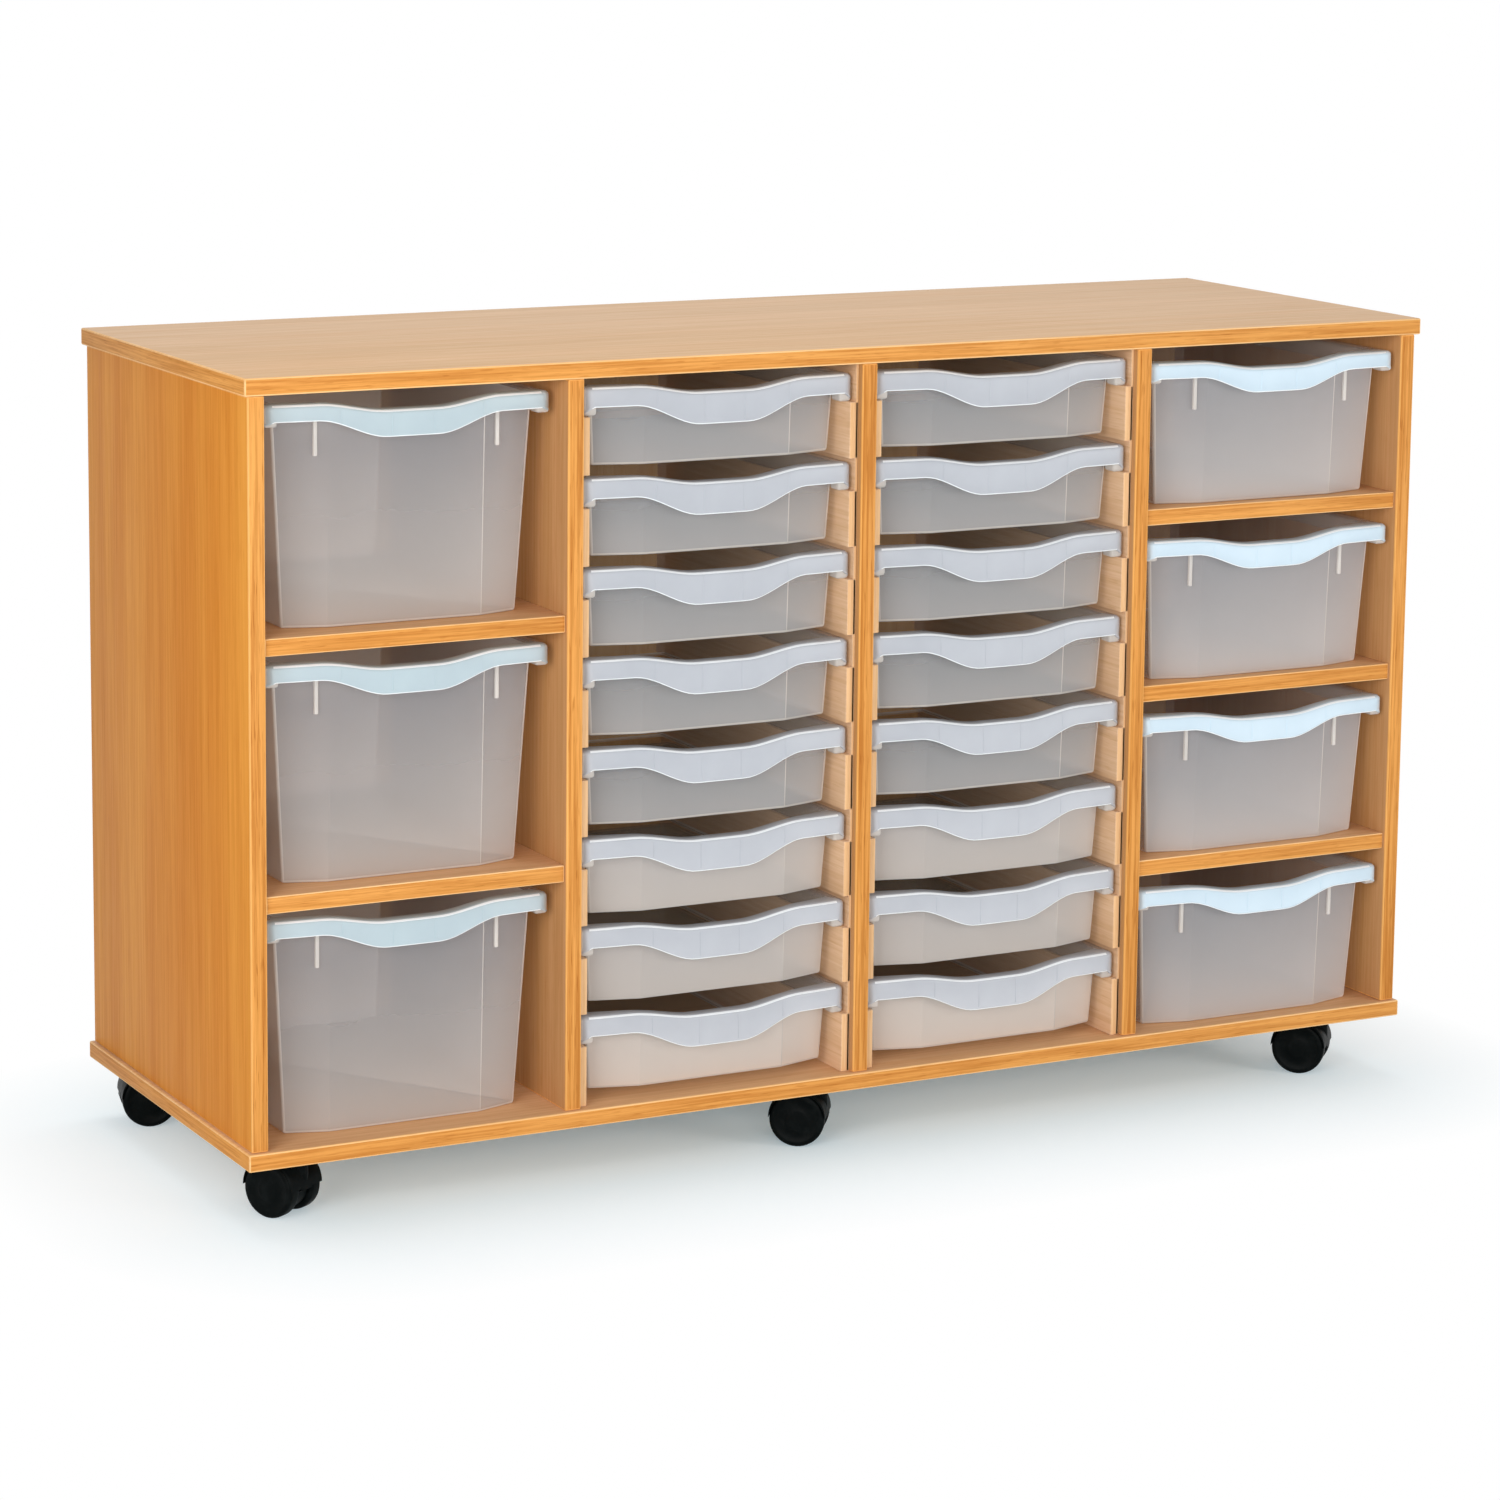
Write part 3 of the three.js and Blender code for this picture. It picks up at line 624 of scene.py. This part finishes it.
def tray_section(kind, rim, rim_out, body, body_out, lip):
    """A section through the wall and rim, from the inner floor over the rim to the outer floor."""
    crest = lip * lip_crest(rim.x)
    edge = lip * lip_edge(kind, rim.x) - (1 - lip) * kind["skirt"]
    foot = -kind["height"]
    floor = foot + WALL
    bend = FOOT_RADIUS * (1 - math.sqrt(0.5))
    back = BEAD + WALL

    def rim_at(inset, z):
        return Vector((*(rim - rim_out * inset), z)) * MM

    def wall_at(inset, z):
        return Vector((*(drawn_in(kind, body, -z) - body_out * inset), z)) * MM

    return [
        wall_at(WALL + FOOT_RADIUS, floor),
        wall_at(WALL + bend, floor + bend),
        wall_at(WALL, floor + FOOT_RADIUS),
        wall_at(WALL, crest - 1.6),
        wall_at(WALL - 0.5, crest - 0.4),
        wall_at(WALL - 1.7, crest),
        rim_at(BEAD + RIM_EDGE, crest),
        rim_at(BEAD + RIM_EDGE * 0.5, crest - RIM_EDGE * 0.13),
        rim_at(BEAD + RIM_EDGE * 0.13, crest - RIM_EDGE * 0.5),
        rim_at(BEAD, crest - RIM_EDGE),
        rim_at(BEAD, edge + 3.0),
        rim_at(0.1, edge + 1.9),
        rim_at(0.0, edge + 1.0),
        rim_at(0.5, edge),
        rim_at(back - 0.6, edge),
        rim_at(back, edge + 0.8),
        rim_at(back, crest - RIM_SHEET - 1.5),
        rim_at(back + 1.5, crest - RIM_SHEET),
        wall_at(-1.5, crest - RIM_SHEET),
        wall_at(0.0, crest - RIM_SHEET - 1.5),
        wall_at(0.0, foot + FOOT_RADIUS),
        wall_at(bend, foot + bend),
        wall_at(FOOT_RADIUS, foot),
    ]


def tray_mesh(name, front):
    """A tray as one closed skin, with its ribs, end webs and lip ticks as small solids on it."""
    kind = TRAY_KINDS[name]
    shares = front_shares(kind)
    rim = outline(shares, kind["half"], lambda x: lip_front(kind, x), TRAY_LENGTH, RIM_CORNER)
    body = outline(
        shares, body_half(kind), lambda x: body_front(kind, x), TRAY_LENGTH - FLANGE, BODY_CORNER
    )
    lips = [lip_share(column, len(shares), len(rim)) for column in range(len(rim))]
    places = zip(rim, outward(rim), body, outward(body), lips)
    columns = [tray_section(kind, *place_on_tray) for place_on_tray in places]
    bm = bmesh.new()
    highlight_columns_at = highlight_columns(kind, shares, len(columns))
    for band, faces in enumerate(add_rings(bm, list(zip(*columns)))):
        for column, face in enumerate(faces):
            face.material_index = band_slot(band, lips[column], column in highlight_columns_at)
    add_tray_details(bm, kind)
    materials = [warm_lit_floors[name], tray_body, front, rims[name], tray_edge_and_highlight, tray_highlight_line, tray_side_warm_lit]
    return to_mesh(bm, name + "_tray", materials, 40)


def add_tray_details(bm, kind):
    """Fine ticks on the lip, a web under each of its ends and, on taller trays, two ribs."""

    def add_detail(low, high, bevel, segments, slot):
        first_new = len(bm.faces)
        add_box(bm, Vector(low) * MM, Vector(high) * MM, bevel * MM, segments)
        bm.faces.ensure_lookup_table()
        for face in bm.faces[first_new:]:
            face.material_index = slot

    for x in TICK_PLACES:
        front = lip_front(kind, x) + BEAD
        low = (x - TICK_HALF, front - TICK_PROUD, lip_edge(kind, x) + 3)
        high = (x + TICK_HALF, front + 1, lip_crest(x) - RIM_EDGE)
        add_detail(low, high, 0.2, 1, RIM_SLOT)
    for side in (-1, 1):
        near, far = sorted((side * (body_half(kind) - WALL), side * (kind["half"] - BEAD - 0.5)))
        low = (near, LIP_BOW + WALL + BEAD, -kind["skirt"])
        high = (far, BODY_FRONT + FACET_RECESS + 2, -RIM_SHEET / 2)
        add_detail(low, high, 3, 3, EDGE_AND_HIGHLIGHT_SLOT)
        if kind["tall"]:
            x = side * RIB_PLACE
            front = body_front(kind, x)
            low = (x - RIB_HALF, front - RIB_PROUD, -RIB_DROP)
            high = (x + RIB_HALF, front + 2, -RIM_SHEET / 2)
            add_detail(low, high, 0.7, 2, EDGE_AND_HIGHLIGHT_SLOT)


def build_trays():
    """All the trays; the shallow ones in the three lowest rows get paler, warmer fronts, painted light that grows
    towards the floor.
    """
    meshes = {name: [tray_mesh(name, front)] * TRAY_ROWS for name, front in shaded_fronts.items()}
    meshes["shallow"][LIT_LOW_ROWS] = [tray_mesh("shallow", lit_low_front)] * 2
    meshes["shallow"][LIT_LOWEST_ROW] = tray_mesh("shallow", lit_lowest_front)
    for node in node_body:
        if "_tray_" in node:
            kind = next(name for name in TRAY_KINDS if node.startswith(name))
            row = int(node.rsplit("_", 1)[1]) - 1
            low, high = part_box(node)
            location = ((low.x + high.x) / 2, low.y, high.z)
            place(node + "_moulding", meshes[kind][row], node, "frosted_tray", location)


# Castors, drawn with the axle along X through the origin


def quarter(steps=4):
    """Angles through a quarter turn."""
    return [math.pi / 2 * i / steps for i in range(steps + 1)]


def wheel_profile(radius):
    """One wheel: a tyre with round shoulders, a dished face and a raised hub cap."""
    shoulder = radius - TYRE_ROUND
    axle_end = WHEEL_INNER - AXLE_SHOULDER
    profile = [(TURNED_CORE, axle_end), (AXLE_RADIUS, axle_end), (AXLE_RADIUS, WHEEL_INNER)]
    for angle in quarter():
        out, up = TYRE_ROUND * (1 - math.cos(angle)), TYRE_ROUND * math.sin(angle)
        profile.append((shoulder + up, WHEEL_INNER + out))
    for angle in quarter():
        out, up = TYRE_ROUND * (1 - math.sin(angle)), TYRE_ROUND * math.cos(angle)
        profile.append((shoulder + up, WHEEL_OUTER - out))
    dish = [(0.8, 0), (0.77, -0.6), (0.42, -0.8), (0.39, -0.3), (0.3, -0.1), (0.02, 0)]
    return profile + [(radius * share, WHEEL_OUTER + step * MM) for share, step in dish]


def add_hood_cover(bm, fit, radius, half):
    """A rounded shell over both wheels, which thins out towards its two ends."""
    inner = radius - HOOD_WALL
    rings = []
    for i in range(HOOD_STEPS + 1):
        angle = math.pi * (HOOD_END + (1 - 2 * HOOD_END) * i / HOOD_STEPS)
        taper = min(1, 6 * min(i, HOOD_STEPS - i) / HOOD_STEPS)
        thick = HOOD_WALL * (0.25 + 0.75 * taper)
        outer = inner + thick
        soft = min(HOOD_CORNER, thick)
        profile = [(half, inner), (half, outer - soft * 0.6)]
        profile += [(half - soft * 0.3, outer - soft * 0.2), (half - HOOD_CORNER, outer)]
        profile += [(-x, r) for x, r in reversed(profile)]
        rings.append([fit @ Vector((x, r * math.cos(angle), r * math.sin(angle))) for x, r in profile])
    add_rings(bm, rings)


def add_hood_web(bm, fit, over, under):
    """The hood's middle between the wheels: a half disc over the axle and a smaller one under it."""
    angles = [math.pi * i / WEB_STEPS for i in range(2 * WEB_STEPS)]
    radii = [over if i <= WEB_STEPS else under for i in range(2 * WEB_STEPS)]
    flat_half = WEB_HALF - WEB_CHAMFER
    levels = ((-WEB_HALF, WEB_CHAMFER), (-flat_half, 0), (flat_half, 0), (WEB_HALF, WEB_CHAMFER))
    rings = []
    for x, inset in levels:
        ring = [((r - inset) * math.cos(a), (r - inset) * math.sin(a)) for a, r in zip(angles, radii)]
        rings.append([fit @ Vector((x, y, z)) for y, z in ring])
    add_rings(bm, rings)


def build_hood(node, fit, stem, wheel_radius):
    """The hood: a cover, the web between the wheels and a collar round the stem."""
    radius = wheel_radius + HOOD_CLEARANCE + HOOD_WALL
    bm = bmesh.new()
    add_hood_cover(bm, fit, radius, WHEEL_OUTER)
    add_hood_web(bm, fit, radius - HOOD_WALL / 2, wheel_radius - WEB_INSET)
    upright = Matrix.Translation(stem) @ Matrix.Rotation(-math.pi / 2, 4, "Y")
    foot, head = fit.translation.z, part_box(node)[1].z
    collar = [(TURNED_CORE, foot), (COLLAR_RADIUS, foot), (COLLAR_RADIUS, head - COLLAR_CHAMFER)]
    collar += [(COLLAR_RADIUS - COLLAR_CHAMFER, head), (TURNED_CORE, head)]
    add_turned(bm, collar, upright, 32)
    place(node + "_moulding", to_mesh(bm, node + "_moulding", [hood_nylon]), node, "black_plastic")


def build_wheels(node, fit, wheel_radius):
    """A pair of wheels back to back on the axle."""
    profile = wheel_profile(wheel_radius)
    bm = bmesh.new()
    for side in (fit, fit @ Matrix.Rotation(math.pi, 4, "Z")):
        add_turned(bm, profile, side)
    place(node + "_moulding", to_mesh(bm, node + "_moulding", [wheel_nylon]), node, "black_plastic")


def build_plate(node, stem):
    """The plate under the base, with a screw in each corner."""
    low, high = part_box(node)
    plate_foot = high.z - PLATE_SHEET
    bm = bmesh.new()
    for x in (-PLATE_SCREW_PLACE, PLATE_SCREW_PLACE):
        for y in (-PLATE_SCREW_PLACE, PLATE_SCREW_PLACE):
            centre = Vector((stem.x + x, stem.y + y, plate_foot))
            add_screw_head(bm, centre, Vector((0, 0, -1)), PLATE_SCREW_RADIUS, PLATE_SCREW_RISE)
    # The box comes last: faces added after a bevel get an order that varies from run to run
    add_box(bm, (low.x, low.y, plate_foot), high, PLATE_ROUND)
    place(node + "_steel", to_mesh(bm, node + "_steel", [zinc]), node, "plated_steel")


def build_castors():
    """Each castor, placed by its two joints."""
    for node in node_body:
        if not node.endswith("_wheels"):
            continue
        castor = node.removesuffix("_wheels")
        axle = joints[castor + "_axle_hinge"]
        stem = Vector(joints[castor + "_swivel_hinge"]["pos_m"]) * Vector((1, 1, 0))
        turn = Matrix.Rotation(math.atan2(axle["axis"][1], axle["axis"][0]), 4, "Z")
        fit = Matrix.Translation(axle["pos_m"]) @ turn
        wheel_radius = fit.translation.z
        build_wheels(node, fit, wheel_radius)
        build_hood(castor + "_hood", fit, stem, wheel_radius)
        build_plate(castor + "_plate", stem)


# Stage


def shown_directly(tree):
    """1 on rays from the camera, from a gloss or through a clear piece, 0 on the rest."""
    path = tree.nodes.new("ShaderNodeLightPath")
    shown = path.outputs["Is Camera Ray"]
    for name in ("Is Glossy Ray", "Is Transmission Ray"):
        either = tree.nodes.new("ShaderNodeMath")
        either.operation = "MAXIMUM"
        tree.links.new(shown, either.inputs[0])
        tree.links.new(path.outputs[name], either.inputs[1])
        shown = either.outputs[0]
    return shown


def mixed(tree, share, first, second):
    """Two shaders mixed by a share."""
    mix = tree.nodes.new("ShaderNodeMixShader")
    for source, socket in zip((share, first, second), mix.inputs):
        tree.links.new(source, socket)
    return mix.outputs[0]


def emission(tree, colour, strength):
    """A shader that shines by itself."""
    glow = tree.nodes.new("ShaderNodeEmission")
    glow.inputs["Color"].default_value = (*colour, 1)
    glow.inputs["Strength"].default_value = strength
    return glow.outputs[0]


def build_floor():
    """A pale floor that keeps the shadow round the object and turns plain white further out."""
    material = bpy.data.materials.new("white_floor")
    material.use_nodes = True
    tree = material.node_tree
    tree.nodes.remove(tree.nodes["Principled BSDF"])
    diffuse = tree.nodes.new("ShaderNodeBsdfDiffuse")
    diffuse.inputs["Color"].default_value = FLOOR_COLOUR
    lit = tree.nodes.new("ShaderNodeAddShader")
    tree.links.new(diffuse.outputs[0], lit.inputs[0])
    shown = shown_directly(tree)
    dark = emission(tree, WHITE, 0.0)
    glow = mixed(tree, shown, dark, emission(tree, FLOOR_GLOW, FLOOR_GLOW_STRENGTH))
    tree.links.new(glow, lit.inputs[1])
    far = mixed(tree, shown, diffuse.outputs[0], emission(tree, WHITE, 1.0))
    coordinates = tree.nodes.new("ShaderNodeTexCoord")
    beyond = coordinates.outputs["Object"]
    past_half = (("ABSOLUTE", None), ("SUBTRACT", SHADED_HALF), ("MAXIMUM", (0, 0, 0)), ("LENGTH", None))
    for operation, other in past_half:
        step = tree.nodes.new("ShaderNodeVectorMath")
        step.operation = operation
        tree.links.new(beyond, step.inputs[0])
        if other:
            step.inputs[1].default_value = other
        beyond = step.outputs["Value" if operation == "LENGTH" else "Vector"]
    distance = tree.nodes.new("ShaderNodeMapRange")
    distance.inputs["From Max"].default_value = SHADED_FADE
    tree.links.new(beyond, distance.inputs["Value"])
    surface = mixed(tree, distance.outputs["Result"], lit.outputs[0], far)
    tree.links.new(surface, tree.nodes["Material Output"].inputs["Surface"])
    bm = bmesh.new()
    bmesh.ops.create_grid(bm, x_segments=1, y_segments=1, size=FLOOR_HALF)
    mesh = bpy.data.meshes.new("floor")
    bm.to_mesh(mesh)
    bm.free()
    mesh.materials.append(material)
    floor = bpy.data.objects.new("floor", mesh)
    scene.collection.objects.link(floor)


def build_world():
    """A dim sky that shows white where it is seen directly."""
    world = bpy.data.worlds.new("studio")
    world.use_nodes = True
    scene.world = world
    tree = world.node_tree
    backdrop = tree.nodes["Background"]
    backdrop.inputs["Color"].default_value = (*WHITE, 1)
    fill = tree.nodes.new("ShaderNodeBackground")
    fill.inputs["Color"].default_value = SKY_FILL
    fill.inputs["Strength"].default_value = SKY_FILL_STRENGTH
    sky = mixed(tree, shown_directly(tree), fill.outputs[0], backdrop.outputs[0])
    tree.links.new(sky, tree.nodes["World Output"].inputs["Surface"])


def add_lamp(name, location, target, size, power):
    """A soft rectangular lamp that points at a target."""
    lamp = bpy.data.lights.new(name, "AREA")
    lamp.shape = "RECTANGLE"
    lamp.size, lamp.size_y = size
    lamp.energy = power
    holder = bpy.data.objects.new(name, lamp)
    holder.location = location
    holder.rotation_euler = (Vector(target) - Vector(location)).to_track_quat("-Z", "Y").to_euler()
    scene.collection.objects.link(holder)


def build_lights():
    """Soft lamps round the front and over the top."""
    add_lamp("key", (-3.3, -2.6, 1.5), (0, 0, 0.5), (2.2, 1.4), 72)
    add_lamp("fill", (-1.4, -4.3, 1.2), (0, 0, 0.45), (2, 1.2), 64)
    add_lamp("right", (2.6, -3.2, 0.9), (0.3, 0, 0.45), (1.6, 1.2), 42)
    add_lamp("overhead", (0, 0.5, 3.2), (0, 0.1, 0.8), (3, 1.4), 36)


def build_camera():
    """The photograph's camera."""
    lens = bpy.data.cameras.new("camera")
    lens.lens = CAMERA_LENS
    lens.sensor_width = 36
    lens.shift_y = CAMERA_SHIFT
    holder = bpy.data.objects.new("camera", lens)
    level = math.cos(CAMERA_ELEVATION)
    ahead = Vector(
        (math.sin(CAMERA_AZIMUTH) * level, math.cos(CAMERA_AZIMUTH) * level, -math.sin(CAMERA_ELEVATION))
    )
    aim = ahead.to_track_quat("-Z", "Y").to_matrix().to_4x4() @ Matrix.Rotation(CAMERA_ROLL, 4, "Z")
    holder.matrix_world = Matrix.Translation(CAMERA_TARGET - ahead * CAMERA_DISTANCE) @ aim
    scene.collection.objects.link(holder)
    scene.camera = holder


build_carcass()
build_trays()
build_castors()
build_floor()
build_world()
build_lights()
build_camera()
scene.view_settings.view_transform = "Standard"

bpy.context.view_layer.update()
